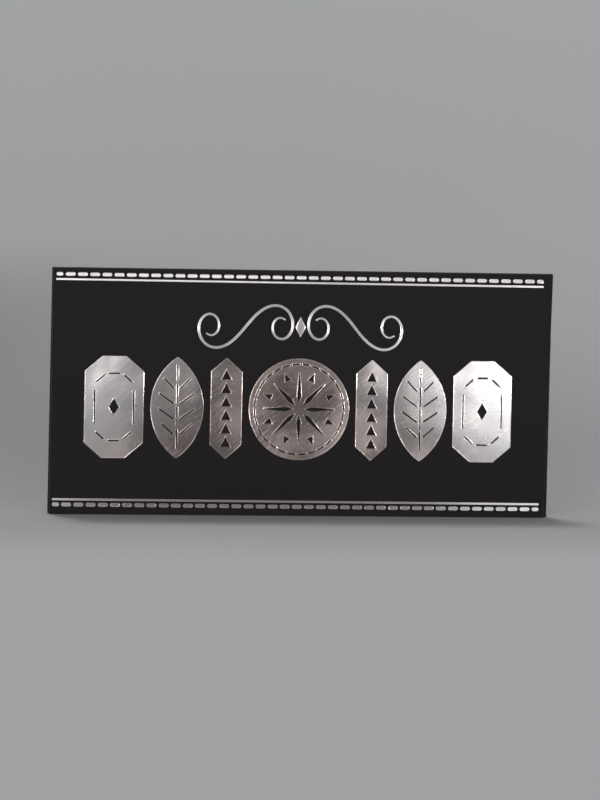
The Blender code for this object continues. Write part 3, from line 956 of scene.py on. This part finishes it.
@dataclass
class Pocket:
    """The pocket behind the cover: its foot fold, its front wall with the thumb notch, its glued flaps."""

    envelope: Envelope
    finishes: Sequence[Material]
    notch_width: float = 0.026
    notch_depth: float = 0.0075
    mouth_radius: float = 0.0025
    flap_width: float = 0.015
    flap_taper: float = 0.005
    flap_radius: float = 0.0015
    foot_radius: float = 0.0003
    notch_steps: int = 32
    corner_steps: int = 8
    turn_steps: int = 12
    fold_steps: int = 6

    @property
    def wall_y(self) -> float:
        """The middle of the pocket's wall."""
        low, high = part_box("pocket_panel")
        return (low.y + high.y) / 2

    @property
    def mouth(self) -> float:
        """The height of the pocket's mouth."""
        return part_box("pocket_panel")[1].z

    @property
    def foot(self) -> float:
        """Where the wall meets the foot fold."""
        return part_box("pocket_panel")[0].z

    @property
    def flap_turn(self) -> float:
        """The radius of the half turn at each end, in the middle of the card."""
        low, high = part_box("pocket_flap_left")
        return (high.y - low.y - self.envelope.card) / 2

    @property
    def turn_x(self) -> float:
        """Where the wall's straight part ends and the half turn begins."""
        return self.envelope.half_width - self.envelope.half_card - self.flap_turn

    def corner_angles(self, first: int) -> list[float]:
        """The angles along a quarter turn, from this step to the last."""
        return [math.pi / 2 * step / self.corner_steps for step in range(first, self.corner_steps + 1)]

    def mouth_height(self, x: float) -> float:
        """The height of the wall's upper edge at a place along it.

        Args:
            x: The place along the envelope.

        Returns:
            The height there, with the notch and the rounded corners.
        """
        half = self.notch_width / 2
        if abs(x) < half:
            radius = (half**2 + self.notch_depth**2) / (2 * self.notch_depth)
            return self.mouth - self.notch_depth + radius - math.sqrt(radius**2 - x * x)
        inset = abs(x) - (self.turn_x - self.mouth_radius)
        if inset > 0:
            return self.mouth - self.mouth_radius + math.sqrt(max(0.0, self.mouth_radius**2 - inset**2))
        return self.mouth

    def wall(self) -> CardSheet:
        """The front wall, drawn from end to end in columns."""
        half = self.notch_width / 2
        corner = self.turn_x - self.mouth_radius
        shares = [step / self.notch_steps - 0.5 for step in range(self.notch_steps + 1)]
        notch = [half * math.sin(math.pi * share) for share in shares]
        bends = [corner + self.mouth_radius * math.sin(angle) for angle in self.corner_angles(0)]
        places = [-x for x in reversed(bends)] + notch + bends
        sheet = CardSheet("pocket_wall", Axis.UP, self.envelope.card)
        sheet.stations = [
            Station((x, self.wall_y), (0.0, -1.0), self.foot, self.mouth_height(x)) for x in places
        ]
        return sheet

    def flap(self, side: Side) -> CardSheet:
        """One end flap: the half turn at the pocket's end and the tapered tongue behind the wall.

        Args:
            side: Which end it is at.

        Returns:
            The sheet, still to be built.
        """
        sign = side.value
        turn = self.flap_turn
        start = Vector((sign * self.turn_x, self.wall_y))
        centre = start + Vector((0.0, turn))
        top = self.mouth - self.mouth_radius
        sheet = CardSheet("pocket_flap_sheet_" + side.word, Axis.UP, self.envelope.card, free_end=True)
        for step in range(self.turn_steps + 1):
            angle = math.pi * step / self.turn_steps
            facing = (sign * math.sin(angle), -math.cos(angle))
            place = centre + Vector(facing) * turn
            sheet.stations.append(Station(tuple(place), facing, self.foot, top))
        length = self.flap_width - (self.envelope.half_width - self.turn_x)
        for angle in self.corner_angles(1):
            inset = self.flap_radius * (1 - math.cos(angle))
            along = length - self.flap_radius * (1 - math.sin(angle))
            slope = self.flap_taper * along / length
            place = centre + Vector((-sign * along, turn))
            low, high = self.foot + slope + inset, top - slope - inset
            sheet.stations.append(Station(tuple(place), (0.0, 1.0), low, high))
        return sheet

    def foot_fold(self) -> CardSheet:
        """The fold under the pocket, from the back panel round to the wall."""
        env = self.envelope
        back = Vector((env.rear_axis.y, env.half_card))
        wall = Vector((self.wall_y, env.half_card))
        down, front, up = math.radians(270), math.radians(180), math.radians(90)
        line = [((back.x, self.foot), (1.0, 0.0))]
        for corner, arriving, leaving in ((back, down, front), (wall, front, up)):
            fold = Bend(tuple(corner), arriving, leaving, self.foot_radius, steps=self.fold_steps)
            line += fold.line()[1:-1]
        line.append(((wall.x, self.foot), (-1.0, 0.0)))
        return long_sheet(env, "pocket_foot_sheet", line)

    def build(self) -> list[Object]:
        """Make the pocket's sheets: the foot fold, the wall and the two flaps."""
        plans = [(self.foot_fold(), "pocket_foot_fold"), (self.wall(), "pocket_panel")]
        plans += [(self.flap(side), "pocket_flap_" + side.word) for side in Side]
        return [attach(sheet.build(self.finishes), Body.BACK, node) for sheet, node in plans]


# Stamped foil


@dataclass
class PressedFoil:
    """A piece of foil stamped on the cover, with a rounded ridge along every outline."""

    finish: Material
    rim: float = 0.00023
    field_height: float = 0.00005
    ridge_height: float = 0.0001
    seat_height: float = 0.000004
    wall: float = 0.000004
    ridge_steps: int = 3
    weld: float = 0.0000001
    level: float = 0.9999
    smooth_below: float = math.radians(40)

    def build(self, name: str, loops: list[Loop], place: Matrix) -> Object:
        """Make one piece of foil.

        Args:
            name: The piece's name.
            loops: Its outlines, each followed by its openings, in the plane of the cover.
            place: Where that plane's X, Y and outward Z lie in the frame, with Z at 0 on the card's face.

        Returns:
            The piece as an object at the frame's origin.
        """
        curve = bpy.data.curves.new(name, "CURVE")
        curve.dimensions = "2D"
        curve.fill_mode = "BOTH"
        curve.extrude = self.wall
        curve.bevel_depth = self.rim
        curve.bevel_resolution = self.ridge_steps
        curve.offset = -self.rim
        for loop in loops:
            spline = curve.splines.new("POLY")
            spline.points.add(len(loop) - 1)
            for point, (along, up) in zip(spline.points, loop):
                point.co = (along, up, 0.0, 1.0)
            spline.use_cyclic_u = True
        held = new_object(name + "_outline", curve)
        bpy.context.view_layer.update()
        graph = bpy.context.evaluated_depsgraph_get()
        mesh = bpy.data.meshes.new_from_object(held.evaluated_get(graph))
        bpy.data.objects.remove(held)
        bpy.data.curves.remove(curve)
        self.press(mesh)
        mesh.transform(place)
        mesh.materials.clear()
        mesh.materials.append(self.finish)
        return new_object(name, mesh)

    def press(self, mesh: bpy.types.Mesh) -> None:
        """Turn the curve's round bevel into a low field with a ridge along its edge, seated on the card.

        Args:
            mesh: The filled and bevelled outline, in its own plane.
        """
        top = self.wall + self.rim
        shape = bmesh.new()
        shape.from_mesh(mesh)
        bmesh.ops.remove_doubles(shape, verts=shape.verts, dist=self.weld)
        for vert in shape.verts:
            if vert.co.z < 0:
                vert.co.z = self.seat_height
                continue
            sunk = min(1.0, max(0.0, (top - vert.co.z) / self.rim))
            outward = math.sqrt(1 - (1 - sunk) ** 2)
            rise = math.sin(math.pi * outward)
            vert.co.z = self.field_height + (self.ridge_height - self.field_height) * rise
        bmesh.ops.recalc_face_normals(shape, faces=shape.faces)
        for face in shape.faces:
            face.smooth = abs(face.normal.z) < self.level
        for edge in shape.edges:
            edge.smooth = len(edge.link_faces) == 2 and edge.calc_face_angle(0.0) < self.smooth_below
        shape.to_mesh(mesh)
        shape.free()


@dataclass
class Motifs:
    """Outlines of the frieze and the scroll, each with its openings.

    Line widths, corner radii and ray tips are in metres. Steps, cuts, rays and triangles are counts. The
    scroll's lean is an angle and its curl is in turns. The other numbers are shares of a motif's own size.
    """

    line_width: float = 0.00045
    corner_radius: float = 0.0005
    coin_steps: int = 96
    cap_steps: int = 6
    ring_cuts: int = 28
    ring_share: float = 0.885
    cut_share: float = 0.72
    rays: int = 8
    ray_width: float = 0.085
    ray_root: float = 0.13
    ray_waist: float = 0.26
    ray_reach: float = 0.70
    ray_tip: float = 0.0002
    spike_width: float = 0.12
    spike_foot: float = 0.60
    spike_reach: float = 0.75
    gem_flat: Point = (0.4, 0.7)
    gem_line: float = 0.66
    gem_gap: float = 0.14
    gem_eye: float = 0.17
    leaf_steps: int = 22
    ribs: tuple[Band, ...] = ((-0.80, -0.42), (-0.36, 0.02), (0.08, 0.46), (0.52, 0.84))
    veins: tuple[Band, ...] = ((-0.52, 0.56), (-0.22, 0.68), (0.08, 0.66), (0.38, 0.50))
    vein_start: float = 0.12
    vein_rise: float = 0.20
    bar_shoulder: float = 0.36
    triangles: int = 6
    triangle_share: float = 0.15
    column_share: float = 0.66
    scroll_steps: int = 90
    scroll_lean: float = math.radians(45)
    scroll_curl: float = 1.225
    scroll_tip: float = 0.6

    def coin(self, radius: float) -> list[Loop]:
        """A disc with a broken ring near its rim and a star of rays and triangles."""
        middle = (0.0, 0.0)
        loops = [arc(middle, radius, 0.0, math.tau, self.coin_steps)[:-1]]
        step = math.tau / self.ring_cuts
        ring, half = radius * self.ring_share, self.line_width / 2
        for index in range(self.ring_cuts):
            first, last = step * index, step * (index + self.cut_share)
            outer = arc(middle, ring + half, first, last, self.cap_steps)
            loops.append(outer + arc(middle, ring - half, last, first, self.cap_steps))
        for index in range(self.rays):
            turn = math.tau * index / self.rays
            out = Vector((math.cos(turn), math.sin(turn)))
            side = Vector((-out.y, out.x)) * radius * self.ray_width / 2
            shares = (self.ray_root, self.ray_waist, self.ray_reach)
            root, waist, tip = (out * radius * share for share in shares)
            blunt = side.normalized() * self.ray_tip / 2
            ray = (root + blunt, root - blunt, waist - side, tip - blunt, tip + blunt, waist + side)
            loops.append([tuple(p) for p in ray])
            turn += math.pi / self.rays
            out = Vector((math.cos(turn), math.sin(turn)))
            side = Vector((-out.y, out.x)) * radius * self.spike_width / 2
            tip, foot = out * radius * self.spike_reach, out * radius * self.spike_foot
            loops.append([tuple(p) for p in (foot - side, tip, foot + side)])
        return loops

    def gem(self, width: float, height: float) -> list[Loop]:
        """An upright stone with cut corners, a broken line inside it and an opening at its middle."""
        half_w, half_h = width / 2, height / 2
        flat_w, flat_h = half_w * self.gem_flat[0], half_h * self.gem_flat[1]
        lower = [(-half_w, -flat_h), (-flat_w, -half_h), (flat_w, -half_h), (half_w, -flat_h)]
        corners = lower + opposite(lower)
        loops = [rounded(corners, self.corner_radius)]
        inner = [(x * self.gem_line, z * self.gem_line) for x, z in corners]
        for start, end in zip(inner, inner[1:] + inner[:1]):
            ends = between(start, end, self.gem_gap), between(end, start, self.gem_gap)
            loops.append(slot_loop(*ends, self.line_width))
        tips = [(0.0, -half_h), (half_w, 0.0), (0.0, half_h), (-half_w, 0.0)]
        loops.append([(x * self.gem_eye, z * self.gem_eye) for x, z in tips])
        return loops

    def leaf(self, width: float, height: float) -> list[Loop]:
        """An upright leaf with a broken midrib and pairs of veins."""
        half_w, half_h = width / 2, height / 2
        radius = (half_h**2 + half_w**2) / width
        reach = math.asin(half_h / radius)
        right = arc((half_w - radius, 0.0), radius, -reach, reach, self.leaf_steps)[:-1]
        loops = [right + opposite(right)]
        for low, high in self.ribs:
            loops.append(slot_loop((0.0, half_h * low), (0.0, half_h * high), self.line_width))
        for root, far in self.veins:
            for side in Side:
                start = (side.value * half_w * self.vein_start, half_h * root)
                end = (side.value * half_w * far, half_h * (root + self.vein_rise))
                loops.append(slot_loop(start, end, self.line_width))
        return loops

    def bar(self, width: float, height: float) -> list[Loop]:
        """An upright bar with pointed ends and a column of small triangles."""
        half, shoulder = width / 2, height * self.bar_shoulder
        right = [(0.0, -height / 2), (half, -shoulder), (half, shoulder)]
        loops = [rounded(right + opposite(right), self.corner_radius)]
        side = width * self.triangle_share
        for index in range(self.triangles):
            middle = height * self.column_share * (index / (self.triangles - 1) - 0.5)
            loops.append([(-side, middle - side), (side, middle - side), (0.0, middle + side)])
        return loops

    def scroll(self, start: float, length: float, height: float, width: float) -> Loop:
        """The stroke of an S-shaped scroll that is curled at both ends.

        Args:
            start: Where its left end lies.
            length: How far it reaches.
            height: How high it is, to the middle of its stroke.
            width: The stroke's greatest width.

        Returns:
            The stroke's outline.
        """
        reach = math.sqrt(self.scroll_curl * math.tau)
        step = 2 * reach / self.scroll_steps
        here = Vector((0.0, 0.0))
        path = [here.copy()]
        for index in range(self.scroll_steps):
            heading = (step * (index + 0.5) - reach) ** 2 - self.scroll_lean
            here += Vector((math.cos(heading), math.sin(heading))) * step
            path.append(here.copy())
        low = Vector((min(p.x for p in path), min(p.y for p in path)))
        high = Vector((max(p.x for p in path), max(p.y for p in path)))
        across, up = length / (high.x - low.x), height / (high.y - low.y)
        points = [Vector((start + (p.x - low.x) * across, (p.y - low.y) * up - height / 2)) for p in path]
        return self.ribbon(points, width)

    def ribbon(self, points: list[Vector], width: float) -> Loop:
        """The outline of a stroke along a line, thinner towards its two round ends.

        Args:
            points: The middle of the stroke.
            width: Its width at the middle.

        Returns:
            The outline.
        """
        left: Loop = []
        right: Loop = []
        last = len(points) - 1
        for index, point in enumerate(points):
            along = (points[min(last, index + 1)] - points[max(0, index - 1)]).normalized()
            swell = self.scroll_tip + (1 - self.scroll_tip) * math.sqrt(math.sin(math.pi * index / last))
            side = Vector((-along.y, along.x)) * (width * swell / 2)
            left.append(tuple(point + side))
            right.append(tuple(point - side))
        return self.cap(right[-1], left[-1]) + left[::-1] + self.cap(left[0], right[0]) + right

    def cap(self, start: Point, end: Point) -> Loop:
        """The points of a half circle that closes a stroke, without its two ends."""
        middle = (Vector(start) + Vector(end)) / 2
        arm = Vector(start) - middle
        first = math.atan2(arm.y, arm.x)
        return arc(tuple(middle), arm.length, first, first + math.pi, self.cap_steps)[1:-1]


@dataclass
class FoilPrint:
    """All the foil on the cover: stitch rows and rules along its long edges, a frieze and a scroll."""

    envelope: Envelope
    foil: PressedFoil
    border: PressedFoil
    motifs: Motifs
    turn: float = math.radians(0.14)
    left_margin: float = 0.0010
    right_margin: float = 0.0032
    top_rule_margin: float = 0.0040
    bottom_rule_margin: float = 0.00465
    rule_width: float = 0.0007
    rule_corner: float = 0.0001
    rule_steps: int = 2
    row_to_rule: float = 0.00167
    dash_length: float = 0.00324
    dash_height: float = 0.00125
    dash_gap: float = 0.00075
    dash_steps: int = 8
    end_dash_length: float = 0.00228
    side_margin: float = 0.012
    motif_gap: float = 0.0022
    frieze_share: float = 0.465
    frieze_base: float = 0.19
    bar_share: float = 0.22
    leaf_share: float = 0.37
    gem_share: float = 0.41
    scroll_margin: float = 0.049
    scroll_width: float = 0.0009
    scroll_share: float = 0.195
    scroll_base: float = 0.70
    diamond_width: float = 0.0034
    diamond_height: float = 0.0067
    diamond_gap: float = 0.0009

    @property
    def half_row(self) -> float:
        """Half the length of a stitch row."""
        return self.envelope.half_width - (self.left_margin + self.right_margin) / 2

    @property
    def top_rule(self) -> float:
        """The upper rule's place, down from the front crease."""
        return self.envelope.half_card - self.top_rule_margin

    @property
    def bottom_rule(self) -> float:
        """The lower rule's place, down from the front crease."""
        return self.bottom_rule_margin - self.envelope.cover_length

    @property
    def field_height(self) -> float:
        """How far apart the rules are."""
        return self.top_rule - self.bottom_rule

    def place(self, x: float, z: float) -> Matrix:
        """The plane of a piece of foil whose middle lies at x and z from the stamp's own middle."""
        along, up = (self.left_margin - self.right_margin) / 2, (self.top_rule + self.bottom_rule) / 2
        stamp = Matrix.Translation((along, 0.0, up)) @ Matrix.Rotation(self.turn, 4, "Y")
        face = Matrix.Translation((x, -self.envelope.half_card, z))
        return self.envelope.cover_matrix @ stamp @ (face @ Matrix.Rotation(math.radians(90), 4, "X"))

    def row_loops(self) -> list[Loop]:
        """The dashes of a stitch row: long round-ended ones between two short ones."""
        run = 2 * self.half_row - 2 * self.end_dash_length - self.dash_gap
        count = round(run / (self.dash_length + self.dash_gap))
        lengths = [self.end_dash_length] + [self.dash_length] * count + [self.end_dash_length]
        gap = (2 * self.half_row - sum(lengths)) / (count + 1)
        radius = self.dash_height / 2
        under, over = math.radians(-90), math.radians(90)
        loops = []
        start = -self.half_row
        for length in lengths:
            near, far = start + radius, start + length - radius
            left = arc((near, 0.0), radius, over, over + math.pi, self.dash_steps)
            loops.append(left + arc((far, 0.0), radius, under, over, self.dash_steps))
            start += length + gap
        return loops

    def build_borders(self) -> list[Object]:
        """Make both stitch rows and both rules."""
        made = []
        lower = [(-self.half_row, -self.rule_width / 2), (self.half_row, -self.rule_width / 2)]
        rule = rounded(lower + opposite(lower), self.rule_corner, self.rule_steps)
        rise = self.field_height / 2
        for word, sign in (("top", 1), ("bottom", -1)):
            row_place = self.place(0.0, sign * (rise + self.row_to_rule))
            made.append(self.piece("foil_stitch_row_" + word, self.row_loops(), row_place, self.border))
            made.append(self.piece("foil_rule_" + word, [rule], self.place(0.0, sign * rise), self.border))
        return made

    def build_frieze(self) -> list[Object]:
        """Make the coin and the three motifs on each side of it."""
        height = self.field_height * self.frieze_share
        middle = self.field_height * (self.frieze_base - 0.5) + height / 2
        width = 2 * self.envelope.half_width - 2 * self.side_margin
        kinds = (
            ("bar", self.motifs.bar, self.bar_share),
            ("leaf", self.motifs.leaf, self.leaf_share),
            ("gem", self.motifs.gem, self.gem_share),
        )
        wing = (width - height) / 2 - len(kinds) * self.motif_gap
        made = [self.piece("foil_coin", self.motifs.coin(height / 2), self.place(0.0, middle), self.foil)]
        start = height / 2
        for word, loops_of, share in kinds:
            across = wing * share
            x = start + self.motif_gap + across / 2
            for side in Side:
                name = "foil_" + word + "_" + side.word
                place = self.place(side.value * x, middle)
                made.append(self.piece(name, loops_of(across, height), place, self.foil))
            start += self.motif_gap + across
        return made

    def build_scroll(self) -> list[Object]:
        """Make the small diamond and the scroll on each side of it."""
        height = self.field_height * self.scroll_share
        place = self.place(0.0, self.field_height * (self.scroll_base - 0.5) + height / 2)
        start = self.diamond_width / 2 + self.diamond_gap
        length = self.envelope.half_width - self.scroll_margin - start
        stroke = self.motifs.scroll(start, length, height, self.scroll_width)
        mirrored = [(-x, z) for x, z in reversed(stroke)]
        half = [(0.0, -self.diamond_height / 2), (self.diamond_width / 2, 0.0)]
        plans = (("right", stroke), ("left", mirrored), ("diamond", half + opposite(half)))
        return [self.piece("foil_scroll_" + word, [loop], place, self.border) for word, loop in plans]

    def piece(self, node: str, loops: list[Loop], place: Matrix, foil: PressedFoil) -> Object:
        """Stamp one piece, ride it on the cover and let it stand for its node."""
        apart = "stitch" in node
        runs = [wound(loop, against=index > 0 and not apart) for index, loop in enumerate(loops)]
        return attach(foil.build(node + "_pressed", runs, place), Body.COVER, node)


@dataclass
class GlueStrips:
    """The glue between the flaps and the back, which keeps its nodes and gets a real finish."""

    finish: Material

    def dress(self) -> list[Object]:
        """Give both strips their material."""
        made = []
        for side in Side:
            node = frame["nodes"]["glue_strip_" + side.word]
            node.data.materials.clear()
            node.data.materials.append(self.finish)
            made.append(node)
        return made


# The studio


@dataclass(frozen=True)
class Lamp:
    """What every lamp has: its name, its two angles from the envelope and how wide it is, in degrees."""

    name: str
    azimuth: float
    elevation: float
    width: float

    def hang(self, light: bpy.types.Light, distance: float = 1.0) -> Object:
        """Put a light in the scene at a distance, aimed at the envelope."""
        away = direction(self.azimuth, self.elevation)
        made = new_object(self.name, light)
        made.rotation_mode = "QUATERNION"
        made.rotation_quaternion = away.to_track_quat("Z", "Y")
        made.location = away * distance
        return made


@dataclass(frozen=True)
class SoftLamp(Lamp):
    """A broad lamp a long way off, as wide as an angle."""

    strength: float

    def build(self) -> Object:
        """Hang the lamp."""
        light = bpy.data.lights.new(self.name, "SUN")
        light.energy = self.strength
        light.angle = math.radians(self.width)
        return self.hang(light)


@dataclass(frozen=True)
class StripLamp(Lamp):
    """A long flat lamp some way off, which the foil shows as a band of light."""

    height: float
    radiance: float
    distance: float = 4.0

    def build(self) -> Object:
        """Hang the lamp, as wide and as high as its two angles."""
        light = bpy.data.lights.new(self.name, "AREA")
        light.shape = "RECTANGLE"
        light.size = 2 * self.distance * math.tan(math.radians(self.width) / 2)
        light.size_y = 2 * self.distance * math.tan(math.radians(self.height) / 2)
        light.energy = self.radiance * math.pi * light.size * light.size_y
        return self.hang(light, self.distance)


@dataclass
class Studio:
    """A pale grey paper ground that sweeps up behind the envelope, soft lamps and a plain surround."""

    paper: Triple = (0.361, 0.371, 0.381)
    cloud: Grain = Grain(7.0)
    fibre: Grain = Grain(1400.0, 2.0, 0.6)
    cloud_tone: float = 0.6
    fibre_tone: float = 0.4
    mottle: Band = (0.985, 1.015)
    roughness: float = 0.95
    # Painted light: how much lighter the paper is painted in front of the envelope, and over what distance
    # it turns lighter.
    painted_light_front: float = 1.21
    painted_light_run: Band = (0.03, 0.16)
    surround: Triple = (0.075, 0.062, 0.058)
    flat_behind: float = 0.025
    sweep_radius: float = 0.10
    sweep_steps: int = 40
    wall_height: float = 1.2
    reach: float = 3.0
    lamps: tuple[SoftLamp | StripLamp, ...] = (
        SoftLamp("high_back_lamp", -165.0, 68.0, 12.0, 0.96),
        SoftLamp("back_lamp", 180.0, 70.0, 24.0, 0.42),
        StripLamp("front_left_strip", -14.0, 33.0, 34.0, 18.0, 1.40),
        StripLamp("front_right_strip", 22.0, 33.0, 38.0, 18.0, 1.00),
        SoftLamp("right_lamp", 53.0, 1.5, 17.0, 2.05),
        SoftLamp("mid_right_lamp", 40.0, 2.0, 12.0, 0.39),
        SoftLamp("near_right_lamp", 38.0, 4.0, 40.0, 0.32),
        SoftLamp("left_lamp", -35.0, 20.0, 24.0, 0.64),
        SoftLamp("low_left_lamp", -35.0, 10.0, 20.0, 0.24),
        SoftLamp("near_left_lamp", -20.0, 9.0, 30.0, 0.10),
    )

    def paper_finish(self) -> Material:
        """The ground's paper, which is clear when it is seen from behind, with painted light: it is painted
        lighter in front of the envelope.
        """
        made, nodes, shader = new_finish("grey_paper")
        place = nodes.place()
        fine = (nodes.noise(place, self.fibre), self.fibre_tone)
        tone = nodes.weighted(fine, (nodes.noise(place, self.cloud), self.cloud_tone))
        # Painted light: the paper turns lighter from 3 to 16 cm in front of the envelope.
        ahead = nodes.math("MULTIPLY", nodes.split()[1], -1.0)
        mottled = nodes.mix(tone, *(rgba(self.paper, share) for share in self.mottle))
        painted_front_light = nodes.mix(nodes.ramp(ahead, *self.painted_light_run), mottled, rgba(self.paper, self.painted_light_front))
        nodes.feed(shader.inputs["Base Color"], painted_front_light)
        shader.inputs["Roughness"].default_value = self.roughness
        shader.inputs["Specular IOR Level"].default_value = 0.0
        clear = nodes.add("ShaderNodeBsdfTransparent")
        behind = nodes.add("ShaderNodeNewGeometry").outputs["Backfacing"]
        mixed = nodes.add("ShaderNodeMixShader", {0: behind, 1: shader.outputs[0], 2: clear.outputs[0]})
        nodes.feed(nodes.tree.nodes["Material Output"].inputs["Surface"], mixed.outputs[0])
        return made

    def strip(self, name: str, profile: Loop, finish: Material) -> Object:
        """Sweep a line of the ground's profile from left to right.

        Args:
            name: The object's name.
            profile: Points in Y and Z, from front to back.
            finish: The paper's material.

        Returns:
            The strip, which isn't part of the object.
        """
        shape = bmesh.new()
        rows = [[shape.verts.new((x, y, z)) for x in (-self.reach, self.reach)] for y, z in profile]
        for row, after in zip(rows, rows[1:]):
            shape.faces.new((row[0], row[1], after[1], after[0])).smooth = True
        mesh = bpy.data.meshes.new(name)
        shape.to_mesh(mesh)
        shape.free()
        mesh.materials.append(finish)
        made = new_object(name, mesh)
        return made

    def build_ground(self) -> None:
        """Make the floor, and the sweep that rises from it and lets lamps behind it shine through."""
        finish = self.paper_finish()
        back = cad_box[1].y + self.flat_behind
        self.strip("paper_floor", [(-self.reach, 0.0), (self.reach, 0.0)], finish)
        centre = (back, self.sweep_radius)
        bend = arc(centre, self.sweep_radius, math.radians(-90), 0.0, self.sweep_steps)
        sweep = self.strip("paper_sweep", [*bend, (back + self.sweep_radius, self.wall_height)], finish)
        sweep.visible_shadow = False

    def build(self) -> None:
        """Make the ground, the lamps and the surround."""
        self.build_ground()
        for lamp in self.lamps:
            lamp.build()
        world = bpy.data.worlds.new("studio_surround")
        bpy.context.scene.world = world
        world.use_nodes = True
        nodes = NodeTree(world.node_tree)
        shader = world.node_tree.nodes["Background"]
        seen = nodes.add("ShaderNodeLightPath").outputs["Is Camera Ray"]
        nodes.feed(shader.inputs["Color"], nodes.mix(seen, rgba(self.surround), rgba(self.paper)))
        shader.inputs["Strength"].default_value = 1.0
        bpy.context.scene.view_settings.view_transform = "Standard"


@dataclass(frozen=True)
class PhotoCamera:
    """The camera that sees the envelope as the photograph does."""

    azimuth: float = -9.42
    elevation: float = 4.43
    roll: float = 1.353
    distance: float = 2.0
    side_step: float = -0.00081
    up_step: float = -0.00211
    lens: float = 276.27
    sensor: float = 36.0
    clip: Band = (0.1, 50.0)
    aim: Triple = (0.0, -0.0012, 0.040)

    def build(self) -> Object:
        """Place the camera and make it the scene's."""
        a, r = math.radians(self.azimuth), math.radians(self.roll)
        back = direction(self.azimuth, self.elevation)
        level = Vector((math.cos(a), math.sin(a), 0.0))
        upright = back.cross(level)
        right = level * math.cos(r) + upright * math.sin(r)
        up = upright * math.cos(r) - level * math.sin(r)
        data = bpy.data.cameras.new("photo_camera")
        data.lens = self.lens
        data.sensor_width = self.sensor
        data.clip_start, data.clip_end = self.clip
        made = new_object("photo_camera", data)
        turned = Matrix((right, up, back)).transposed().to_4x4()
        place = Vector(self.aim) + right * self.side_step + up * self.up_step + back * self.distance
        made.matrix_world = Matrix.Translation(place) @ turned
        bpy.context.scene.camera = made
        return made


def main() -> None:
    """Build the envelope's looks in order and report each piece."""
    logging.basicConfig(level=logging.INFO, format="%(name)s: %(message)s")
    envelope = Envelope.read()
    finishes = (BlackCard().build(), CutEdge().build())
    creases = Creases(envelope, finishes)
    made = Panels(envelope, creases, finishes).build()
    made += creases.build()
    made += Pocket(envelope, finishes).build()
    made += GlueStrips(ClearGlue().build()).dress()
    foil = PressedFoil(SilverFoil().build())
    border = PressedFoil(BorderFoil().build(), rim=BORDER_RIM)
    foil_print = FoilPrint(envelope, foil, border, Motifs())
    made += foil_print.build_borders()
    made += foil_print.build_frieze()
    made += foil_print.build_scroll()
    for piece in made:
        log.info("%s: %d faces", piece.name, len(piece.data.polygons))
    Studio().build()
    PhotoCamera().build()


if __name__ == "__main__":
    main()
